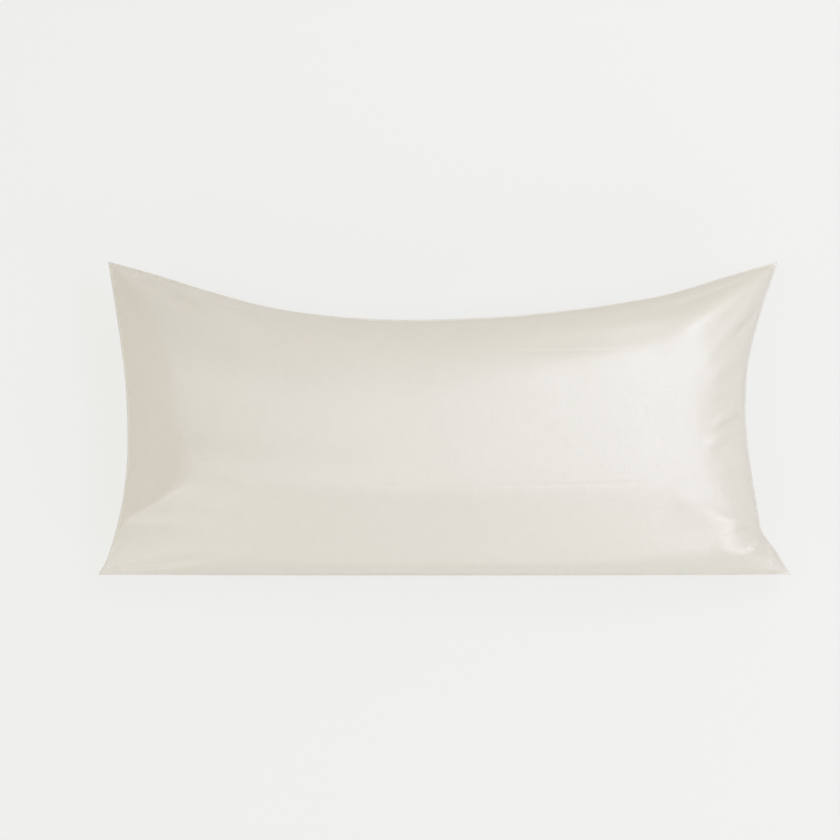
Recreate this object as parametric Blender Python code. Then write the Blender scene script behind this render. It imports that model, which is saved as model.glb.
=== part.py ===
"""A king-size satin pillowcase, filled by its pillow and lying on its back.

The case is two panels of cloth sewn together all round, so it is one closed form: a crowned front, a back
pressed flat where it rests, sides drawn in between pointed corners, and soft folds out of the corners.
X runs along the case, Y across it towards the edge that is drawn in most, and Z up from the surface below.
Lengths are in metres. The origin lies on that surface, under the middle of the outline.
"""

from typing import NamedTuple

import bpy
import numpy as np

# The outline, corner to corner. The near long edge is straight, because the case was stood on it.
NEAR_LENGTH = 1.0165
FAR_LENGTH = 0.9801
FAR_SHIFT = -0.0018
OUTLINE_WIDTH = 0.4588

# Heights of the seam above the surface below, at the middle of each side and at the corners, and how thick
# its four layers of cloth are.
SEAM_MIDDLE = 0.090
NEAR_CORNER = 0.045
FAR_CORNER = 0.070
SEAM_DROOP_POWER = 2.6
SEAM_THICKNESS = 0.0024

# How far the panels stand away from the surface that spans the seams.
FRONT_RISE = 0.070
BACK_DROP = 0.165
FLOOR_ROUNDING = 0.012

# Nearer than this, the front leans down to the straight edge.
LEAN_FROM = -0.122
LEAN_SLOPE = 0.30
LEAN_SOFTNESS = 0.010

# The grid that both panels are cut into, and how far its lines crowd towards the seams, from 0 to 1.
LINES_ALONG = 72
LINES_ACROSS = 40
CROWDING = 0.70

# Within this distance of a seam a fold fades out.
FOLD_FADE = 0.012

CLOTH_COLOUR = (0.74, 0.70, 0.61, 1.0)
CLOTH_ROUGHNESS = 0.45


class Draw(NamedTuple):
    """How far the seam is drawn in at one place: the share of the way along the edge, and the distance."""

    along: float
    inward: float


# Each edge runs from left to right or from near to far.
FAR_EDGE = (
    Draw(0.000, 0.0000),
    Draw(0.062, 0.0166),
    Draw(0.152, 0.0439),
    Draw(0.242, 0.0670),
    Draw(0.331, 0.0798),
    Draw(0.436, 0.0854),
    Draw(0.540, 0.0833),
    Draw(0.660, 0.0745),
    Draw(0.750, 0.0630),
    Draw(0.839, 0.0467),
    Draw(0.929, 0.0200),
    Draw(1.000, 0.0000),
)
NEAR_EDGE = (Draw(0.0, 0.0), Draw(0.5, 0.0), Draw(1.0, 0.0))
LEFT_EDGE = (
    Draw(0.000, 0.0000),
    Draw(0.034, 0.0095),
    Draw(0.098, 0.0197),
    Draw(0.226, 0.0331),
    Draw(0.355, 0.0388),
    Draw(0.483, 0.0375),
    Draw(0.612, 0.0326),
    Draw(0.740, 0.0234),
    Draw(0.868, 0.0122),
    Draw(1.000, 0.0000),
)
RIGHT_EDGE = (
    Draw(0.000, 0.0000),
    Draw(0.077, 0.0205),
    Draw(0.152, 0.0425),
    Draw(0.180, 0.0440),
    Draw(0.257, 0.0488),
    Draw(0.360, 0.0544),
    Draw(0.462, 0.0577),
    Draw(0.565, 0.0569),
    Draw(0.668, 0.0513),
    Draw(0.770, 0.0391),
    Draw(0.873, 0.0226),
    Draw(1.000, 0.0000),
)


class Roll(NamedTuple):
    """How a panel turns down to one seam: over what distance, how gently it leaves the crown, and how full.

    widths gives the distance at some shares of the way along the seam. ease is 1 for a crease where the turn
    begins and more for a gentler start. power is 0.5 for a round side and 1 for a flat one.
    """

    widths: tuple
    ease: float
    power: float


FRONT_RIGHT = Roll(
    widths=((0.0, 0.090), (0.25, 0.080), (0.5, 0.105), (0.75, 0.105), (1.0, 0.120)),
    ease=2.6,
    power=0.60,
)
FRONT_FAR = Roll(
    widths=((0.0, 0.100), (0.3, 0.140), (0.6, 0.125), (0.8, 0.085), (1.0, 0.120)),
    ease=3.0,
    power=0.62,
)
FRONT_NEAR = Roll(
    widths=((0.0, 0.085), (0.15, 0.040), (0.5, 0.020), (0.85, 0.040), (1.0, 0.085)),
    ease=2.6,
    power=0.50,
)
BACK_END = Roll(
    widths=((0.0, 0.170), (1.0, 0.170)),
    ease=2.0,
    power=0.72,
)
BACK_SIDE = Roll(
    widths=((0.0, 0.156), (0.25, 0.125), (0.5, 0.120), (0.75, 0.125), (1.0, 0.156)),
    ease=2.0,
    power=0.68,
)


class Slack(NamedTuple):
    """How far the slack left end reaches in from its seam, at one share of the way along that seam."""

    along: float
    reach: float


# The slack cloth rises straight to the end of the filling. From there the front rises slowly to its crown.
LEFT_SLACK = (
    Slack(0.00, 0.000),
    Slack(0.17, 0.002),
    Slack(0.25, 0.055),
    Slack(0.32, 0.084),
    Slack(0.40, 0.088),
    Slack(0.50, 0.072),
    Slack(0.62, 0.066),
    Slack(0.70, 0.066),
    Slack(0.78, 0.057),
    Slack(0.90, 0.030),
    Slack(1.00, 0.008),
)
SLACK_SLOPE = 0.50
SLACK_SOFTNESS = 0.006
CROWN_LENGTH = 0.30


class Fold(NamedTuple):
    """A soft ridge, or a trough where its height is negative, from one place on the front to another.

    The height is at its widest.
    """

    start: tuple
    end: tuple
    bow: float
    start_width: float
    end_width: float
    height: float


FRONT_FOLDS = (
    # From the far right corner, fanning out towards the middle of the case.
    Fold((0.472, 0.222), (0.295, 0.149), 0.006, 0.007, 0.014, -0.0120),
    Fold((0.488, 0.230), (0.300, 0.082), -0.004, 0.014, 0.036, 0.0110),
    Fold((0.466, 0.200), (0.352, 0.056), 0.010, 0.008, 0.016, 0.0055),
    Fold((0.474, 0.184), (0.383, 0.070), 0.006, 0.007, 0.013, -0.0120),
    Fold((0.455, 0.130), (0.372, 0.042), 0.000, 0.007, 0.012, 0.0065),
    Fold((0.452, 0.106), (0.400, 0.034), 0.000, 0.008, 0.012, -0.0080),
    # Short folds that the right seam gathers.
    Fold((0.448, 0.014), (0.384, -0.021), 0.000, 0.007, 0.009, -0.0060),
    Fold((0.436, -0.007), (0.368, -0.042), 0.000, 0.007, 0.010, 0.0060),
    Fold((0.442, -0.018), (0.384, -0.048), 0.000, 0.007, 0.010, -0.0060),
    # The tucked near right corner: its crest, the pocket above it, and the folds below it.
    Fold((0.468, -0.164), (0.345, -0.092), 0.006, 0.008, 0.026, 0.0095),
    Fold((0.472, -0.160), (0.430, -0.120), 0.000, 0.007, 0.012, -0.0070),
    Fold((0.474, -0.172), (0.412, -0.158), -0.005, 0.006, 0.008, -0.0060),
    Fold((0.448, -0.196), (0.385, -0.160), 0.000, 0.011, 0.016, 0.0080),
    Fold((0.471, -0.168), (0.432, -0.200), 0.004, 0.006, 0.008, 0.0080),
    Fold((0.474, -0.220), (0.400, -0.194), 0.000, 0.006, 0.009, -0.0050),
    # The left end: a soft swelling along the near part of the filling's edge, and hollows on both its sides.
    Fold((-0.478, -0.147), (-0.388, 0.000), -0.043, 0.012, 0.020, 0.0020),
    Fold((-0.430, -0.160), (-0.355, -0.108), 0.000, 0.014, 0.020, -0.0018),
    Fold((-0.478, 0.220), (-0.345, 0.150), 0.004, 0.007, 0.012, -0.0065),
    Fold((-0.370, 0.188), (-0.248, 0.138), 0.000, 0.007, 0.010, -0.0050),
    # A gather along the far seam.
    Fold((-0.285, 0.161), (-0.133, 0.140), 0.000, 0.007, 0.011, -0.0045),
    # The long wrinkle out of the near left corner.
    Fold((-0.490, -0.224), (-0.305, -0.196), 0.000, 0.006, 0.012, -0.0030),
)


def smooth_through(rows, at):
    """The second column of the rows at each place of the first, on a smooth curve through them.

    Between two rows it is a cubic whose slope at a row is the slope from the row before to the row after.
    """
    x, y = np.array(rows, float).T
    slope = np.gradient(y, x)
    i = np.clip(np.searchsorted(x, at) - 1, 0, len(x) - 2)
    gap = x[i + 1] - x[i]
    t = (at - x[i]) / gap
    rest = 1 - t
    ends = y[i] * (1 + 2 * t) * rest**2 + y[i + 1] * (3 - 2 * t) * t**2
    return ends + gap * t * rest * (slope[i] * rest - slope[i + 1] * t)


def seam(start, end, rows, inward, at):
    """Points along one seam, shape (n, 3): a line between two corners, drawn inward, drooping to each one."""
    start, end, inward = (np.array(v, float) for v in (start, end, inward))
    plan = start[:2] + at[:, None] * (end - start)[:2] + smooth_through(rows, at)[:, None] * inward
    droop = (SEAM_MIDDLE - np.where(at < 0.5, start[2], end[2])) * np.abs(2 * at - 1) ** SEAM_DROOP_POWER
    return np.column_stack([plan, SEAM_MIDDLE - droop])


def crowded(lines):
    """Places from 0 to 1 that lie closer together towards both ends."""
    even = np.linspace(0, 1, lines)
    return (1 - CROWDING) * even + CROWDING * (1 - np.cos(np.pi * even)) / 2


def seam_surface(u, v):
    """The surface that spans the four seams, shape (across, along, 3).

    It is a Coons patch: the blends of both pairs of opposite seams are added, and the corners' taken off.
    """
    near_y, far_y = -OUTLINE_WIDTH / 2, OUTLINE_WIDTH / 2
    near_left = (-NEAR_LENGTH / 2, near_y, NEAR_CORNER)
    near_right = (NEAR_LENGTH / 2, near_y, NEAR_CORNER)
    far_left = (FAR_SHIFT - FAR_LENGTH / 2, far_y, FAR_CORNER)
    far_right = (FAR_SHIFT + FAR_LENGTH / 2, far_y, FAR_CORNER)
    near = seam(near_left, near_right, NEAR_EDGE, (0, 1), u)[None]
    far = seam(far_left, far_right, FAR_EDGE, (0, -1), u)[None]
    left = seam(near_left, far_left, LEFT_EDGE, (1, 0), v)[:, None]
    right = seam(near_right, far_right, RIGHT_EDGE, (-1, 0), v)[:, None]
    u, v = u[None, :, None], v[:, None, None]
    corners = (1 - v) * ((1 - u) * near[:, :1] + u * near[:, -1:]) + v * (
        (1 - u) * far[:, :1] + u * far[:, -1:]
    )
    return (1 - v) * near + v * far + (1 - u) * left + u * right - corners


def turned_down(distance, along, roll):
    """From 0 at a seam to 1 on the crown: one minus a power of what is left of the turn, all to a power."""
    left_over = 1 - np.clip(distance / smooth_through(roll.widths, along), 0, 1)
    return (1 - left_over**roll.ease) ** roll.power


def softened(value, softness):
    """The value where positive, else 0, with the corner rounded: softness log(1 + exp(value / softness))."""
    return softness * np.logaddexp(0, value / softness)


def risen_from_slack(distance, along):
    """The share of its full height that the front has at each distance in from the left seam.

    It is SLACK_SLOPE times the distance as far as the slack reaches, and then covers what is left of the way
    to 1 as 1 - exp(-beyond / CROWN_LENGTH). The corner between the two is rounded.
    """
    reach = smooth_through(LEFT_SLACK, along)
    whole = softened(reach, SLACK_SOFTNESS)
    straight = whole - softened(reach - distance, SLACK_SOFTNESS)
    left_over = 1 - SLACK_SLOPE * whole / FRONT_RISE
    beyond = 1 - np.exp((straight - distance) / CROWN_LENGTH)
    return SLACK_SLOPE * straight / FRONT_RISE + left_over * beyond


def rolled(plan, u, near, far):
    """The product of a panel's turns down to its near and far seams."""
    y = plan[..., 1]
    return turned_down(y - y[:1], u[None, :], near) * turned_down(y[-1:] - y, u[None, :], far)


def eased(share):
    """From 0 to 1 with no slope at either end."""
    share = np.clip(share, 0, 1)
    return share**2 * (3 - 2 * share)


def fold_height(x, y, fold):
    """The fold's height at each place: a bell across it, in step with its width, and eased at its ends."""
    start, end = np.array(fold.start), np.array(fold.end)
    run = end - start
    length = np.hypot(*run)
    ahead, side = run / length, np.array([-run[1], run[0]]) / length
    t = ((x - start[0]) * ahead[0] + (y - start[1]) * ahead[1]) / length
    off = (x - start[0]) * side[0] + (y - start[1]) * side[1] - 4 * fold.bow * t * (1 - t)
    width = fold.start_width + (fold.end_width - fold.start_width) * np.clip(t, 0, 1)
    size = width / max(fold.start_width, fold.end_width)
    return fold.height * size * eased(4 * t) * eased(2.5 * (1 - t)) * np.exp(-((off / width) ** 2))


def seam_distance(x, y):
    """The distance in from the nearest of the four seams."""
    return np.minimum.reduce([x - x[:, :1], x[:, -1:] - x, y - y[:1], y[-1:] - y])


def front_panel(spanned, u, v):
    """The crowned front: it rises from the seams to a low dome, with its folds worked in."""
    x, y = spanned[..., 0], spanned[..., 1]
    left_end = risen_from_slack(x - x[:, :1], v[:, None])
    right_end = turned_down(x[:, -1:] - x, v[:, None], FRONT_RIGHT)
    share = left_end * right_end * rolled(spanned, u, FRONT_NEAR, FRONT_FAR)
    lean = LEAN_SLOPE * softened(LEAN_FROM - y, LEAN_SOFTNESS)
    folds = sum(fold_height(x, y, fold) for fold in FRONT_FOLDS)
    front = spanned.copy()
    front[..., 2] += SEAM_THICKNESS / 2 + share * (FRONT_RISE - lean)
    front[..., 2] += folds * np.clip(seam_distance(x, y) / FOLD_FADE, 0, 1)
    return front


def back_panel(spanned, u, v):
    """The back: it drops from the seams and is pressed flat, exactly level, where it meets the surface."""
    x = spanned[..., 0]
    left_end = turned_down(x - x[:, :1], v[:, None], BACK_END)
    right_end = turned_down(x[:, -1:] - x, v[:, None], BACK_END)
    share = left_end * right_end * rolled(spanned, u, BACK_SIDE, BACK_SIDE)
    height = spanned[..., 2] - SEAM_THICKNESS / 2 - share * BACK_DROP
    pressed = np.clip(height + FLOOR_ROUNDING, 0, None) ** 2 / (4 * FLOOR_ROUNDING)
    back = spanned.copy()
    back[..., 2] = np.where(height > FLOOR_ROUNDING, height, pressed)
    return back


def closed_form(front, back):
    """Points and quads of the two panels and the seam's rim between them, with every face pointing out."""
    index = np.arange(front.size // 3).reshape(front.shape[:2])
    panel = np.stack([index[:-1, :-1], index[:-1, 1:], index[1:, 1:], index[1:, :-1]], -1).reshape(-1, 4)
    round_it = np.concatenate([index[0, :-1], index[:-1, -1], index[-1, :0:-1], index[:0:-1, 0]])
    ahead = np.roll(round_it, -1)
    rim = np.stack([round_it + index.size, ahead + index.size, ahead, round_it], -1)
    points = np.concatenate([front.reshape(-1, 3), back.reshape(-1, 3)])
    return points, np.concatenate([panel, panel[:, ::-1] + index.size, rim])


def cloth_material():
    """Ivory satin."""
    material = bpy.data.materials.new("satin")
    material.use_nodes = True
    surface = material.node_tree.nodes["Principled BSDF"]
    surface.inputs["Base Color"].default_value = CLOTH_COLOUR
    surface.inputs["Roughness"].default_value = CLOTH_ROUGHNESS
    surface.inputs["Metallic"].default_value = 0.0
    return material


def add_pillowcase():
    """The filled case, as one closed solid."""
    u, v = crowded(LINES_ALONG), crowded(LINES_ACROSS)
    spanned = seam_surface(u, v)
    points, quads = closed_form(front_panel(spanned, u, v), back_panel(spanned, u, v))
    mesh = bpy.data.meshes.new("pillowcase")
    mesh.from_pydata(points.tolist(), [], quads.tolist())
    mesh.materials.append(cloth_material())
    mesh.shade_smooth()
    bpy.context.scene.collection.objects.link(bpy.data.objects.new("pillowcase", mesh))


for item in list(bpy.data.objects):
    bpy.data.objects.remove(item)
add_pillowcase()
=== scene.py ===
from typing import NamedTuple

import bpy
import numpy as np
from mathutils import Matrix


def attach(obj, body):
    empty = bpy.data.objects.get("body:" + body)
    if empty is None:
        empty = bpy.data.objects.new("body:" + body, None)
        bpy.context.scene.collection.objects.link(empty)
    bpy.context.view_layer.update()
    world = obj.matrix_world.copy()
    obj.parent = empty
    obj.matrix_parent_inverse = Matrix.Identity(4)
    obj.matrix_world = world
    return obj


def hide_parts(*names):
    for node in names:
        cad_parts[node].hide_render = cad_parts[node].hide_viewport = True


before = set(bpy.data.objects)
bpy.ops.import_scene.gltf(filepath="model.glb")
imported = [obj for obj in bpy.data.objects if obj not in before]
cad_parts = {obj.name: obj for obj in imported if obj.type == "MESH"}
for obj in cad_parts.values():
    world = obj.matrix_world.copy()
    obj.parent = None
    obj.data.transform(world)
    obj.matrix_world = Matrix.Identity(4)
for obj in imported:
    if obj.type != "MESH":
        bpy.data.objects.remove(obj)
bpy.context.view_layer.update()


# ---- The filled case ------------------------------------------------------------------------------------
# Two panels of ivory satin, sewn together all round and turned, with a pillow inside. The filling draws the
# sides in between the corners, and the cloth runs out of each corner in soft folds. X is along the case and
# Y across it.

NEAR_LENGTH = 1.0165
FAR_LENGTH = 0.9801
FAR_SHIFT = -0.0018
OUTLINE_WIDTH = 0.4588
FLAT_SIZE = (1.016, 0.508)

SEAM_MIDDLE = 0.090
NEAR_CORNER = 0.045
FAR_CORNER = 0.070
SEAM_DROOP_POWER = 2.6
SEAM_THICKNESS = 0.0024
FRONT_RISE = 0.070
BACK_DROP = 0.165
FLOOR_ROUNDING = 0.012

# Nearer than this, the front leans down to the straight edge.
LEAN_FROM = -0.122
LEAN_SLOPE = 0.30
LEAN_SOFTNESS = 0.010

# The flat lip of the seam, the fine groove that its stitching pulls beside it, and how far in from the lip
# the folds reach their full height.
LIP = 0.0030
GROOVE_DEPTH = 0.0002
GROOVE_WIDTH = 0.0014
FOLD_FADE = 0.010

# The mesh's lines. Both counts are odd, so that every second line, which the back has, takes in both edges.
LINES_ALONG = 373
LINES_ACROSS = 213
CROWDING = 0.45


class Draw(NamedTuple):
    """How far the seam is drawn in at one place: the share of the way along the edge, and the distance."""

    along: float
    inward: float


# Each edge runs from left to right or from near to far. The near one is straight.
FAR_EDGE = (
    Draw(0.000, 0.0000),
    Draw(0.062, 0.0166),
    Draw(0.152, 0.0439),
    Draw(0.242, 0.0670),
    Draw(0.331, 0.0798),
    Draw(0.436, 0.0854),
    Draw(0.540, 0.0833),
    Draw(0.660, 0.0745),
    Draw(0.750, 0.0630),
    Draw(0.839, 0.0467),
    Draw(0.929, 0.0200),
    Draw(1.000, 0.0000),
)
NEAR_EDGE = (Draw(0.0, 0.0), Draw(0.5, 0.0), Draw(1.0, 0.0))
LEFT_EDGE = (
    Draw(0.000, 0.0000),
    Draw(0.034, 0.0095),
    Draw(0.098, 0.0197),
    Draw(0.226, 0.0331),
    Draw(0.355, 0.0388),
    Draw(0.483, 0.0375),
    Draw(0.612, 0.0326),
    Draw(0.740, 0.0234),
    Draw(0.868, 0.0122),
    Draw(1.000, 0.0000),
)
RIGHT_EDGE = (
    Draw(0.000, 0.0000),
    Draw(0.077, 0.0205),
    Draw(0.152, 0.0425),
    Draw(0.180, 0.0440),
    Draw(0.257, 0.0488),
    Draw(0.360, 0.0544),
    Draw(0.462, 0.0577),
    Draw(0.565, 0.0569),
    Draw(0.668, 0.0513),
    Draw(0.770, 0.0391),
    Draw(0.873, 0.0226),
    Draw(1.000, 0.0000),
)


class Roll(NamedTuple):
    """How a panel turns down to one seam: over what distance, how gently it leaves the crown, and how full.

    widths gives the distance at some shares of the way along the seam. ease is 1 for a crease where the turn
    begins and more for a gentler start. power is 0.5 for a round side and 1 for a flat one.
    """

    widths: tuple
    ease: float
    power: float


FRONT_RIGHT = Roll(
    widths=((0.0, 0.090), (0.25, 0.080), (0.5, 0.105), (0.75, 0.105), (1.0, 0.120)),
    ease=2.6,
    power=0.60,
)
FRONT_FAR = Roll(
    widths=((0.0, 0.100), (0.3, 0.140), (0.6, 0.125), (0.8, 0.085), (1.0, 0.120)),
    ease=3.0,
    power=0.62,
)
FRONT_NEAR = Roll(
    widths=((0.0, 0.085), (0.15, 0.040), (0.5, 0.020), (0.85, 0.040), (1.0, 0.085)),
    ease=2.6,
    power=0.50,
)
BACK_END = Roll(
    widths=((0.0, 0.170), (1.0, 0.170)),
    ease=2.0,
    power=0.72,
)
BACK_SIDE = Roll(
    widths=((0.0, 0.156), (0.25, 0.125), (0.5, 0.120), (0.75, 0.125), (1.0, 0.156)),
    ease=2.0,
    power=0.68,
)


class Slack(NamedTuple):
    """How far the slack left end reaches in from its seam, at one share of the way along that seam."""

    along: float
    reach: float


# The slack cloth rises straight to the end of the filling. From there the front rises slowly to its crown.
LEFT_SLACK = (
    Slack(0.00, 0.000),
    Slack(0.17, 0.002),
    Slack(0.25, 0.055),
    Slack(0.32, 0.084),
    Slack(0.40, 0.088),
    Slack(0.50, 0.072),
    Slack(0.62, 0.066),
    Slack(0.70, 0.066),
    Slack(0.78, 0.057),
    Slack(0.90, 0.030),
    Slack(1.00, 0.008),
)
SLACK_SLOPE = 0.50
SLACK_SOFTNESS = 0.0030
CROWN_LENGTH = 0.30


class Fold(NamedTuple):
    """A ridge, or a trough where its height is negative, from one place on the front to another.

    The height is at its widest. skew makes it wider on its left, seen from its start, and narrower on its
    right. crest is small for a sharp one.
    """

    start: tuple
    end: tuple
    bow: float
    start_width: float
    end_width: float
    height: float
    skew: float = 0.0
    crest: float = 2.0


FRONT_FOLDS = (
    # From the far right corner, fanning out towards the middle of the case.
    Fold((0.474, 0.223), (0.300, 0.153), 0.0058, 0.005, 0.010, -0.0085, skew=0.2, crest=0.8),
    Fold((0.360, 0.176), (0.220, 0.138), 0.002, 0.008, 0.014, -0.0030),
    Fold((0.486, 0.232), (0.296, 0.092), -0.002, 0.012, 0.036, 0.0080),
    Fold((0.452, 0.192), (0.374, 0.108), 0.002, 0.006, 0.010, -0.0014),
    Fold((0.466, 0.200), (0.352, 0.056), 0.0095, 0.008, 0.016, 0.0040, skew=0.3),
    Fold((0.472, 0.182), (0.408, 0.108), 0.004, 0.007, 0.011, -0.0140, skew=0.3, crest=0.8),
    Fold((0.442, 0.140), (0.380, 0.082), 0.000, 0.006, 0.014, -0.0045, crest=0.8),
    Fold((0.458, 0.122), (0.372, 0.042), 0.000, 0.008, 0.013, 0.0050),
    Fold((0.452, 0.106), (0.400, 0.034), 0.000, 0.007, 0.014, -0.0085),
    Fold((0.360, 0.130), (0.060, 0.100), 0.000, 0.015, 0.024, -0.0055),
    # Short folds that the right seam gathers.
    Fold((0.448, 0.056), (0.388, 0.018), 0.000, 0.008, 0.012, -0.0040),
    Fold((0.436, 0.022), (0.382, -0.015), 0.000, 0.005, 0.008, 0.0050),
    Fold((0.448, 0.014), (0.384, -0.021), 0.000, 0.005, 0.007, -0.0065, skew=0.3, crest=0.8),
    Fold((0.436, -0.007), (0.368, -0.042), 0.000, 0.005, 0.009, 0.0060),
    Fold((0.442, -0.018), (0.384, -0.048), 0.000, 0.005, 0.009, -0.0060, skew=0.3),
    Fold((0.446, -0.044), (0.392, -0.078), 0.000, 0.006, 0.010, 0.0030),
    # The tucked near right corner: its crest, the pocket above it, and the small folds below it.
    Fold((0.446, -0.165), (0.320, -0.111), 0.000, 0.014, 0.022, 0.0050, skew=0.4),
    Fold((0.470, -0.163), (0.410, -0.130), 0.003, 0.007, 0.014, 0.0035),
    Fold((0.474, -0.156), (0.418, -0.114), 0.000, 0.007, 0.013, -0.0085),
    Fold((0.472, -0.172), (0.420, -0.161), -0.004, 0.0045, 0.006, -0.0065, crest=0.8),
    Fold((0.462, -0.164), (0.384, -0.172), -0.003, 0.0030, 0.004, 0.0018, crest=0.5),
    Fold((0.466, -0.219), (0.385, -0.182), 0.000, 0.009, 0.019, 0.0060, skew=-0.3),
    Fold((0.473, -0.166), (0.434, -0.202), 0.003, 0.0060, 0.0080, 0.0095, crest=1.0),
    Fold((0.478, -0.168), (0.466, -0.208), 0.000, 0.0050, 0.0065, -0.0065),
    Fold((0.474, -0.222), (0.410, -0.199), 0.000, 0.0045, 0.0075, -0.0035),
    Fold((0.476, -0.2225), (0.400, -0.218), 0.000, 0.0025, 0.0040, 0.0020),
    Fold((0.477, -0.222), (0.474, -0.196), 0.000, 0.0025, 0.0030, -0.0014, crest=0.6),
    # The left end: a soft swelling along the near part of the filling's edge, and hollows on both its sides.
    Fold((-0.478, -0.147), (-0.388, 0.000), -0.043, 0.010, 0.018, 0.0020, skew=0.3, crest=0.6),
    Fold((-0.430, -0.160), (-0.355, -0.108), 0.000, 0.014, 0.020, -0.0018),
    Fold((-0.478, 0.220), (-0.345, 0.150), 0.004, 0.005, 0.012, -0.0065),
    Fold((-0.370, 0.188), (-0.248, 0.138), 0.000, 0.005, 0.009, -0.0050),
    # Gathers along the far seam, left and right.
    Fold((-0.285, 0.161), (-0.133, 0.140), 0.000, 0.005, 0.010, -0.0045),
    Fold((-0.030, 0.139), (0.030, 0.118), 0.000, 0.005, 0.008, -0.0025),
    # The small wrinkles out of the near left corner.
    Fold((-0.500, -0.224), (-0.468, -0.211), 0.000, 0.003, 0.006, -0.0014),
    Fold((-0.490, -0.224), (-0.305, -0.196), 0.000, 0.005, 0.012, -0.0030, skew=0.3),
    # Small dimples.
    Fold((0.165, -0.032), (0.179, -0.032), 0.000, 0.006, 0.006, -0.0003),
    Fold((0.281, 0.012), (0.295, 0.012), 0.000, 0.006, 0.006, -0.0004),
    Fold((0.255, 0.042), (0.269, 0.042), 0.000, 0.006, 0.006, -0.0003),
    Fold((0.337, 0.030), (0.351, 0.030), 0.000, 0.006, 0.006, -0.0003),
)

# Fine pressed creases, from having been folded flat.
CREASES = (
    Fold((-0.384, 0.111), (-0.229, 0.097), 0.000, 0.0026, 0.0026, -0.00050),
    Fold((-0.110, 0.097), (-0.063, 0.097), 0.000, 0.0026, 0.0026, -0.00055),
    Fold((-0.010, 0.098), (0.320, 0.101), -0.002, 0.0026, 0.0026, -0.00055),
    Fold((-0.120, -0.101), (-0.037, -0.093), 0.000, 0.0026, 0.0026, -0.00055),
    Fold((0.030, -0.096), (0.358, -0.090), -0.002, 0.0026, 0.0026, -0.00050),
    Fold((0.345, -0.091), (0.371, -0.084), -0.002, 0.0026, 0.0026, -0.00055),
    Fold((0.362, -0.100), (0.400, -0.094), -0.002, 0.0026, 0.0026, -0.00055),
    Fold((0.395, -0.090), (0.396, -0.128), 0.000, 0.0026, 0.0028, -0.00050),
    Fold((0.358, 0.066), (0.361, -0.064), 0.000, 0.0026, 0.0026, -0.00035),
    Fold((0.064, 0.045), (0.064, -0.014), 0.000, 0.0026, 0.0026, -0.00035),
    Fold((0.112, 0.090), (0.113, 0.012), 0.000, 0.0026, 0.0026, -0.00035),
    Fold((0.179, 0.075), (0.174, -0.008), 0.000, 0.0026, 0.0026, -0.00035),
    Fold((0.157, 0.080), (0.153, 0.010), 0.000, 0.0026, 0.0026, -0.00035),
    Fold((-0.234, 0.090), (-0.234, 0.026), 0.000, 0.0026, 0.0026, -0.00035),
)

# The seam's stitching gathers the cloth a little: small waves along the edge, this high and this far in.
PUCKER_HEIGHT = 0.0005
PUCKER_REACH = 0.008

# The filling isn't quite even: it swells in this many waves. Each has its own direction, SWELL_TURN radians
# on from the last, and is shorter and shallower than the last by the two ratios. SWELL_NUMBER is the first
# one's radians to the metre.
SWELLS = 16
SWELL_HEIGHT = 0.00030
SWELL_HEIGHT_RATIO = 0.80
SWELL_NUMBER = 30
SWELL_NUMBER_RATIO = 1.13
SWELL_TURN = 2.4


def smooth_through(rows, at):
    """The second column of the rows at each place of the first, on a smooth curve through them.

    Between two rows it is a cubic whose slope at a row is the slope from the row before to the row after.
    """
    x, y = np.array(rows, float).T
    slope = np.gradient(y, x)
    i = np.clip(np.searchsorted(x, at) - 1, 0, len(x) - 2)
    gap = x[i + 1] - x[i]
    t = (at - x[i]) / gap
    rest = 1 - t
    ends = y[i] * (1 + 2 * t) * rest**2 + y[i + 1] * (3 - 2 * t) * t**2
    return ends + gap * t * rest * (slope[i] * rest - slope[i + 1] * t)


def seam(start, end, rows, inward, at):
    """Points along one seam, shape (n, 3): a line between two corners, drawn inward, drooping to each one."""
    start, end, inward = (np.array(v, float) for v in (start, end, inward))
    plan = start[:2] + at[:, None] * (end - start)[:2] + smooth_through(rows, at)[:, None] * inward
    droop = (SEAM_MIDDLE - np.where(at < 0.5, start[2], end[2])) * np.abs(2 * at - 1) ** SEAM_DROOP_POWER
    return np.column_stack([plan, SEAM_MIDDLE - droop])


def crowded(lines):
    """Places from 0 to 1 that lie closer together towards both ends."""
    even = np.linspace(0, 1, lines)
    return (1 - CROWDING) * even + CROWDING * (1 - np.cos(np.pi * even)) / 2


def seam_surface(u, v):
    """The surface that spans the four seams, shape (across, along, 3).

    It is a Coons patch: the blends of both pairs of opposite seams are added, and the corners' taken off.
    """
    near_y, far_y = -OUTLINE_WIDTH / 2, OUTLINE_WIDTH / 2
    near_left = (-NEAR_LENGTH / 2, near_y, NEAR_CORNER)
    near_right = (NEAR_LENGTH / 2, near_y, NEAR_CORNER)
    far_left = (FAR_SHIFT - FAR_LENGTH / 2, far_y, FAR_CORNER)
    far_right = (FAR_SHIFT + FAR_LENGTH / 2, far_y, FAR_CORNER)
    near = seam(near_left, near_right, NEAR_EDGE, (0, 1), u)[None]
    far = seam(far_left, far_right, FAR_EDGE, (0, -1), u)[None]
    left = seam(near_left, far_left, LEFT_EDGE, (1, 0), v)[:, None]
    right = seam(near_right, far_right, RIGHT_EDGE, (-1, 0), v)[:, None]
    u, v = u[None, :, None], v[:, None, None]
    corners = (1 - v) * ((1 - u) * near[:, :1] + u * near[:, -1:]) + v * (
        (1 - u) * far[:, :1] + u * far[:, -1:]
    )
    return (1 - v) * near + v * far + (1 - u) * left + u * right - corners


def turned_down(distance, along, roll):
    """From 0 at a seam's lip to 1 on the crown: one minus a power of what is left of it, all to a power."""
    left_over = 1 - np.clip((distance - LIP) / smooth_through(roll.widths, along), 0, 1)
    return (1 - left_over**roll.ease) ** roll.power


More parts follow.
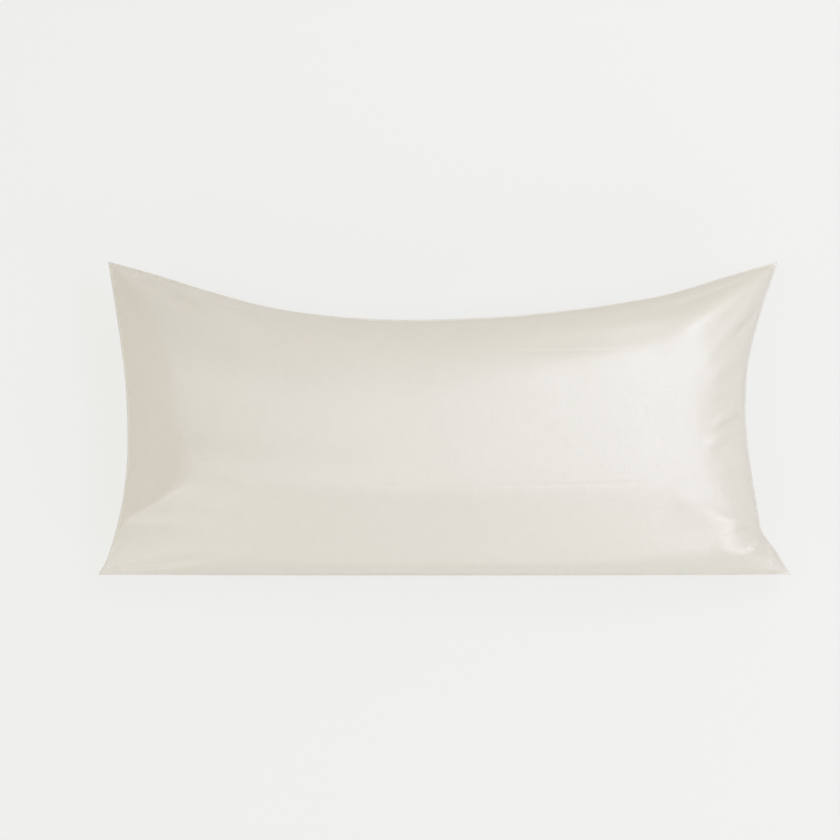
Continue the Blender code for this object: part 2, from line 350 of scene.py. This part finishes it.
def softened(value, softness):
    """The value where positive, else 0, with the corner rounded: softness log(1 + exp(value / softness))."""
    return softness * np.logaddexp(0, value / softness)


def risen_from_slack(distance, along):
    """The share of its full height that the front has at each distance in from the left seam's lip.

    It is SLACK_SLOPE times the distance as far as the slack reaches, and then covers what is left of the way
    to 1 as 1 - exp(-beyond / CROWN_LENGTH). The corner between the two is rounded.
    """
    distance = np.clip(distance - LIP, 0, None)
    reach = smooth_through(LEFT_SLACK, along)
    whole = softened(reach, SLACK_SOFTNESS)
    straight = whole - softened(reach - distance, SLACK_SOFTNESS)
    left_over = 1 - SLACK_SLOPE * whole / FRONT_RISE
    beyond = 1 - np.exp((straight - distance) / CROWN_LENGTH)
    return SLACK_SLOPE * straight / FRONT_RISE + left_over * beyond


def rolled(plan, u, near, far):
    """The product of a panel's turns down to its near and far seams."""
    y = plan[..., 1]
    return turned_down(y - y[:1], u[None, :], near) * turned_down(y[-1:] - y, u[None, :], far)


def eased(share):
    """From 0 to 1 with no slope at either end."""
    share = np.clip(share, 0, 1)
    return share**2 * (3 - 2 * share)


def fold_height(x, y, fold):
    """The fold's height at each place, in step with its width along it, and eased in and out at its ends.

    Across it, with w the width there and c the crest, it is exp((1 + 2c) (c - sqrt(c^2 + (off / w)^2))).
    """
    start, end = np.array(fold.start), np.array(fold.end)
    run = end - start
    length = np.hypot(*run)
    ahead, side = run / length, np.array([-run[1], run[0]]) / length
    t = ((x - start[0]) * ahead[0] + (y - start[1]) * ahead[1]) / length
    off = (x - start[0]) * side[0] + (y - start[1]) * side[1] - 4 * fold.bow * t * (1 - t)
    width = fold.start_width + (fold.end_width - fold.start_width) * np.clip(t, 0, 1)
    size = width / max(fold.start_width, fold.end_width)
    width = width * (1 + fold.skew * off / np.hypot(off, width))
    across = np.exp((1 + 2 * fold.crest) * (fold.crest - np.hypot(fold.crest, off / width)))
    return fold.height * size * eased(4 * t) * eased(2.5 * (1 - t)) * across


def seam_distance(x, y):
    """The distance in from the nearest of the four seams."""
    return np.minimum.reduce([x - x[:, :1], x[:, -1:] - x, y - y[:1], y[-1:] - y])


def unevenness(x, y):
    """Shallow swells of the filling: a sum of sine waves in many directions."""
    order = np.arange(SWELLS)
    turn, number, phase = SWELL_TURN * order, SWELL_NUMBER * SWELL_NUMBER_RATIO**order, 1.7 * order**2
    across = np.cos(turn) * x[..., None] + np.sin(turn) * y[..., None]
    return (SWELL_HEIGHT * SWELL_HEIGHT_RATIO**order * np.sin(number * across + phase)).sum(-1)


def pucker(x, y, inside):
    """Small waves beside the seam: products of sines that fade inwards as exp(-(inside / PUCKER_REACH)^2)."""
    waves = np.sin(410 * x + 70 * y) * np.sin(330 * y - 90 * x + 1.0) + 0.5 * np.sin(730 * x - 520 * y)
    fade = np.exp(-((inside / PUCKER_REACH) ** 2)) * np.clip(inside / LIP, 0, 1)
    return PUCKER_HEIGHT * waves * fade


def front_panel(spanned, u, v):
    """The crowned front: it rises from the seams to a low dome, with its folds and creases worked in."""
    x, y = spanned[..., 0], spanned[..., 1]
    left_end = risen_from_slack(x - x[:, :1], v[:, None])
    right_end = turned_down(x[:, -1:] - x, v[:, None], FRONT_RIGHT)
    share = left_end * right_end * rolled(spanned, u, FRONT_NEAR, FRONT_FAR)
    lean = LEAN_SLOPE * softened(LEAN_FROM - y, LEAN_SOFTNESS)
    folds = sum(fold_height(x, y, fold) for fold in FRONT_FOLDS + CREASES) + unevenness(x, y) * share
    inside = seam_distance(x, y)
    front = spanned.copy()
    front[..., 2] += SEAM_THICKNESS / 2 + share * (FRONT_RISE - lean)
    front[..., 2] += folds * np.clip((inside - LIP) / FOLD_FADE, 0, 1)
    front[..., 2] += pucker(x, y, inside)
    front[..., 2] -= GROOVE_DEPTH * np.exp(-(((inside - LIP) / GROOVE_WIDTH) ** 2))
    return front


def back_panel(spanned, u, v):
    """The back: it drops from the seams and is pressed flat, exactly level, where it meets the surface."""
    x = spanned[..., 0]
    left_end = turned_down(x - x[:, :1], v[:, None], BACK_END)
    right_end = turned_down(x[:, -1:] - x, v[:, None], BACK_END)
    share = left_end * right_end * rolled(spanned, u, BACK_SIDE, BACK_SIDE)
    height = spanned[..., 2] - SEAM_THICKNESS / 2 - share * BACK_DROP
    pressed = np.clip(height + FLOOR_ROUNDING, 0, None) ** 2 / (4 * FLOOR_ROUNDING)
    back = spanned.copy()
    back[..., 2] = np.where(height > FLOOR_ROUNDING, height, pressed)
    return back


def quads(index):
    """A face between each point of a grid and the next ones, along and across."""
    return np.stack([index[:-1, :-1], index[:-1, 1:], index[1:, 1:], index[1:, :-1]], -1).reshape(-1, 4)


def around(index):
    """The points on the edge of a grid, in order round it."""
    return np.concatenate([index[0, :-1], index[:-1, -1], index[-1, :0:-1], index[:0:-1, 0]])


def closed_form(front, back):
    """Points and faces of the two panels and the seam's rim between them, with every face pointing out.

    The back has every second line of the front, so a face of the rim joins two of its points to three.
    """
    front_index = np.arange(front.size // 3).reshape(front.shape[:2])
    back_index = np.arange(back.size // 3).reshape(back.shape[:2]) + front_index.size
    fine, coarse = around(front_index), around(back_index)
    between, ahead = np.roll(fine, -1)[::2], np.roll(fine, -2)[::2]
    rim = np.stack([coarse, np.roll(coarse, -1), ahead, between, fine[::2]], -1)
    faces = quads(front_index).tolist() + quads(back_index)[:, ::-1].tolist() + rim.tolist()
    return np.concatenate([front.reshape(-1, 3), back.reshape(-1, 3)]), faces


def thread_places(panel):
    """Where each point lies on the flat cloth, in metres: its share of the way along its thread, times the
    thread's length."""
    steps_along = np.linalg.norm(np.diff(panel, axis=1), axis=2)
    steps_across = np.linalg.norm(np.diff(panel, axis=0), axis=2)
    along = np.concatenate([np.zeros((panel.shape[0], 1)), np.cumsum(steps_along, 1)], 1)
    across = np.concatenate([np.zeros((1, panel.shape[1])), np.cumsum(steps_across, 0)], 0)
    return np.stack([FLAT_SIZE[0] * along / along[:, -1:], FLAT_SIZE[1] * across / across[-1:]], -1)


def mesh_object(name, points, faces, places):
    """A smooth mesh object at the origin, with the thread places as its UV map."""
    mesh = bpy.data.meshes.new(name)
    mesh.from_pydata(points.tolist(), [], faces)
    corner = np.empty(len(mesh.loops), np.int32)
    mesh.loops.foreach_get("vertex_index", corner)
    mesh.uv_layers.new(name="threads").data.foreach_set("uv", places[corner].ravel())
    mesh.shade_smooth()
    piece = bpy.data.objects.new(name, mesh)
    bpy.context.scene.collection.objects.link(piece)
    return piece


class Value:
    """A shader socket that can be used in sums, so that an expression adds its own Math nodes."""

    def __init__(self, tree, socket):
        self.tree, self.socket = tree, socket

    def math(self, operation, other):
        node = self.tree.nodes.new("ShaderNodeMath")
        node.operation = operation
        plug(self.tree, self, node.inputs[0])
        plug(self.tree, other, node.inputs[1])
        return Value(self.tree, node.outputs[0])

    def __add__(self, other):
        return self.math("ADD", other)

    def __mul__(self, other):
        return self.math("MULTIPLY", other)

    __radd__ = __add__
    __rmul__ = __mul__


def plug(tree, value, target):
    """Links a value to a socket, or sets the socket to it where it is plain numbers."""
    if isinstance(value, Value):
        tree.links.new(value.socket, target)
    else:
        target.default_value = value


class Material:
    """A material under construction.
    """

    def __init__(self, name):
        self.material = bpy.data.materials.new(name)
        self.material.use_nodes = True
        self.tree = self.material.node_tree
        self.surface = self.tree.nodes["Principled BSDF"]

    def make(self, kind, settings=(), values=(), output=0):
        node = self.tree.nodes.new("ShaderNode" + kind)
        for name, setting in dict(settings).items():
            setattr(node, name, setting)
        for name, value in sockets(values):
            plug(self.tree, value, node.inputs[name])
        return Value(self.tree, node.outputs[output])

    def finish(self, values):
        for name, value in sockets(values):
            plug(self.tree, value, self.surface.inputs[name])
        return self.material


def sockets(values):
    """Pairs of a socket's name or place and its value."""
    return values.items() if isinstance(values, dict) else enumerate(values)


SHADED_IVORY = (0.61, 0.58, 0.51, 1.0)
LIT_IVORY = (0.69, 0.66, 0.59, 1.0)


def satin():
    """Ivory satin: a soft gloss, short slubs in both thread directions, a fine weave and a faint mottling."""
    cloth = Material("satin")
    threads = cloth.make("UVMap", {"uv_map": "threads"})

    def noise(scale, detail):
        """Noise between 0 and 1 with this many swells to the metre, along and across the case."""
        place = cloth.make("VectorMath", {"operation": "MULTIPLY"}, (threads, (*scale, 1.0)))
        return cloth.make("TexNoise", values={"Vector": place, "Scale": 1.0, "Detail": detail})

    slubs = (noise((35.0, 480.0), 1.0) + noise((480.0, 35.0), 1.0)) * 0.5
    weave = noise((620.0, 620.0), 1.0)
    mottling = noise((55.0, 55.0), 3.0)
    tint = cloth.make(
        "Mix",
        {"data_type": "RGBA"},
        {0: slubs * 0.5 + weave * 0.2 + mottling * 0.3, 6: SHADED_IVORY, 7: LIT_IVORY},
        output=2,
    )
    bump = cloth.make(
        "Bump",
        values={"Strength": 1.0, "Distance": 0.0007, "Height": slubs * 0.4 + weave * 0.5 + mottling * 0.5},
    )
    return cloth.finish(
        {
            "Base Color": tint,
            "Roughness": 0.44,
            "Specular IOR Level": 1.0,
            "Coat Weight": 0.6,
            "Coat Roughness": 0.50,
            "Normal": bump,
        }
    )


u, v = crowded(LINES_ALONG), crowded(LINES_ACROSS)
spanned = seam_surface(u, v)
front, back = front_panel(spanned, u, v), back_panel(spanned, u, v)[::2, ::2]
points, faces = closed_form(front, back)
places = np.concatenate([thread_places(front).reshape(-1, 2), thread_places(back).reshape(-1, 2)])
case = mesh_object("filled_case", points, faces, places)
case.data.materials.append(satin())
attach(case, "root")
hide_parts("pillowcase")


# ---- The floor, the light and the camera -----------------------------------------------------------------
# A plain pale surface, a ring of large soft lights with two smaller ones above the right half for its
# highlight, a warm even fill, and a long lens looking straight down on the front of the case.

bpy.context.scene.view_settings.view_transform = "Standard"

FLOOR_HALF = 6.0
floor_corners = [(FLOOR_HALF * x, FLOOR_HALF * y, 0.0) for x, y in ((-1, -1), (1, -1), (1, 1), (-1, 1))]
floor_mesh = bpy.data.meshes.new("floor")
floor_mesh.from_pydata(floor_corners, [], [(0, 1, 2, 3)])
floor = bpy.data.objects.new("floor", floor_mesh)
bpy.context.scene.collection.objects.link(floor)
pale = Material("pale_floor")
floor_mesh.materials.append(
    pale.finish(
        {
            "Base Color": (0.10, 0.10, 0.098, 1.0),
            "Roughness": 0.9,
            "Emission Color": (0.871, 0.871, 0.855, 1.0),
            "Emission Strength": 0.855,
        }
    )
)

world = bpy.data.worlds.new("studio")
bpy.context.scene.world = world
world.use_nodes = True
even_fill = world.node_tree.nodes["Background"].inputs
even_fill["Color"].default_value = (1.0, 0.92, 0.70, 1.0)
even_fill["Strength"].default_value = 0.37


class Softbox(NamedTuple):
    """A square light: its place, the point that it faces, its side, its power in watts and its colour."""

    place: tuple
    aim: tuple
    side: float
    power: float
    colour: tuple


def soft_light(name, box):
    """The softbox as an area light, turned from its place to face its point."""
    lamp = bpy.data.lights.new(name, "AREA")
    lamp.size = box.side
    lamp.energy = box.power
    lamp.color = box.colour
    light = bpy.data.objects.new(name, lamp)
    bpy.context.scene.collection.objects.link(light)
    x, y, z = np.subtract(box.place, box.aim)
    light.location = box.place
    light.rotation_euler = (np.arctan2(np.hypot(x, y), z), 0.0, np.arctan2(x, -y))


MIDDLE = (0.0, 0.0, 0.1)
RIGHT_HALF = (0.28, 0.0, 0.1)
SOFTBOXES = {
    "key_far": Softbox((0.70, 0.80, 1.75), RIGHT_HALF, 0.5, 12.2, (0.73, 0.78, 1.00)),
    "key_near": Softbox((1.00, -0.20, 1.75), RIGHT_HALF, 0.5, 6.2, (0.73, 0.78, 1.00)),
    "high_left": Softbox((-0.74, 0.00, 2.38), MIDDLE, 1.2, 10.2, (0.85, 0.91, 1.00)),
    "high_far": Softbox((0.00, 1.50, 1.90), MIDDLE, 1.2, 3.0, (0.85, 0.95, 1.00)),
    "low_far": Softbox((0.00, 2.19, 1.08), MIDDLE, 1.2, 6.0, (1.00, 0.92, 0.86)),
    "low_far_right": Softbox((1.55, 1.55, 1.08), MIDDLE, 1.2, 7.5, (1.00, 0.97, 0.86)),
    "low_left": Softbox((-2.19, 0.00, 1.08), MIDDLE, 1.2, 6.0, (1.00, 0.92, 0.82)),
    "low_near_left": Softbox((-1.55, -1.55, 1.08), MIDDLE, 1.2, 11.0, (0.89, 0.92, 1.00)),
    "low_near": Softbox((0.00, -2.19, 1.08), MIDDLE, 1.2, 5.0, (0.92, 0.98, 1.00)),
    "low_near_right": Softbox((1.55, -1.55, 1.08), MIDDLE, 1.2, 18.0, (0.88, 0.90, 1.00)),
}
for name, box in SOFTBOXES.items():
    soft_light(name, box)

# The camera stands this high above the near corners, and its view is this wide at their height. VIEW_MIDDLE
# is the point at the middle of the picture.
CAMERA_HEIGHT = 8.0
VIEW_WIDTH = 1.234
VIEW_MIDDLE = (-0.0355, -0.0023)
SENSOR_WIDTH = 36.0
lens = bpy.data.cameras.new("camera")
lens.sensor_width = SENSOR_WIDTH
lens.lens = SENSOR_WIDTH * CAMERA_HEIGHT / VIEW_WIDTH
lens.clip_end = 50.0
camera = bpy.data.objects.new("camera", lens)
bpy.context.scene.collection.objects.link(camera)
camera.location = (*VIEW_MIDDLE, NEAR_CORNER + CAMERA_HEIGHT)
bpy.context.scene.camera = camera
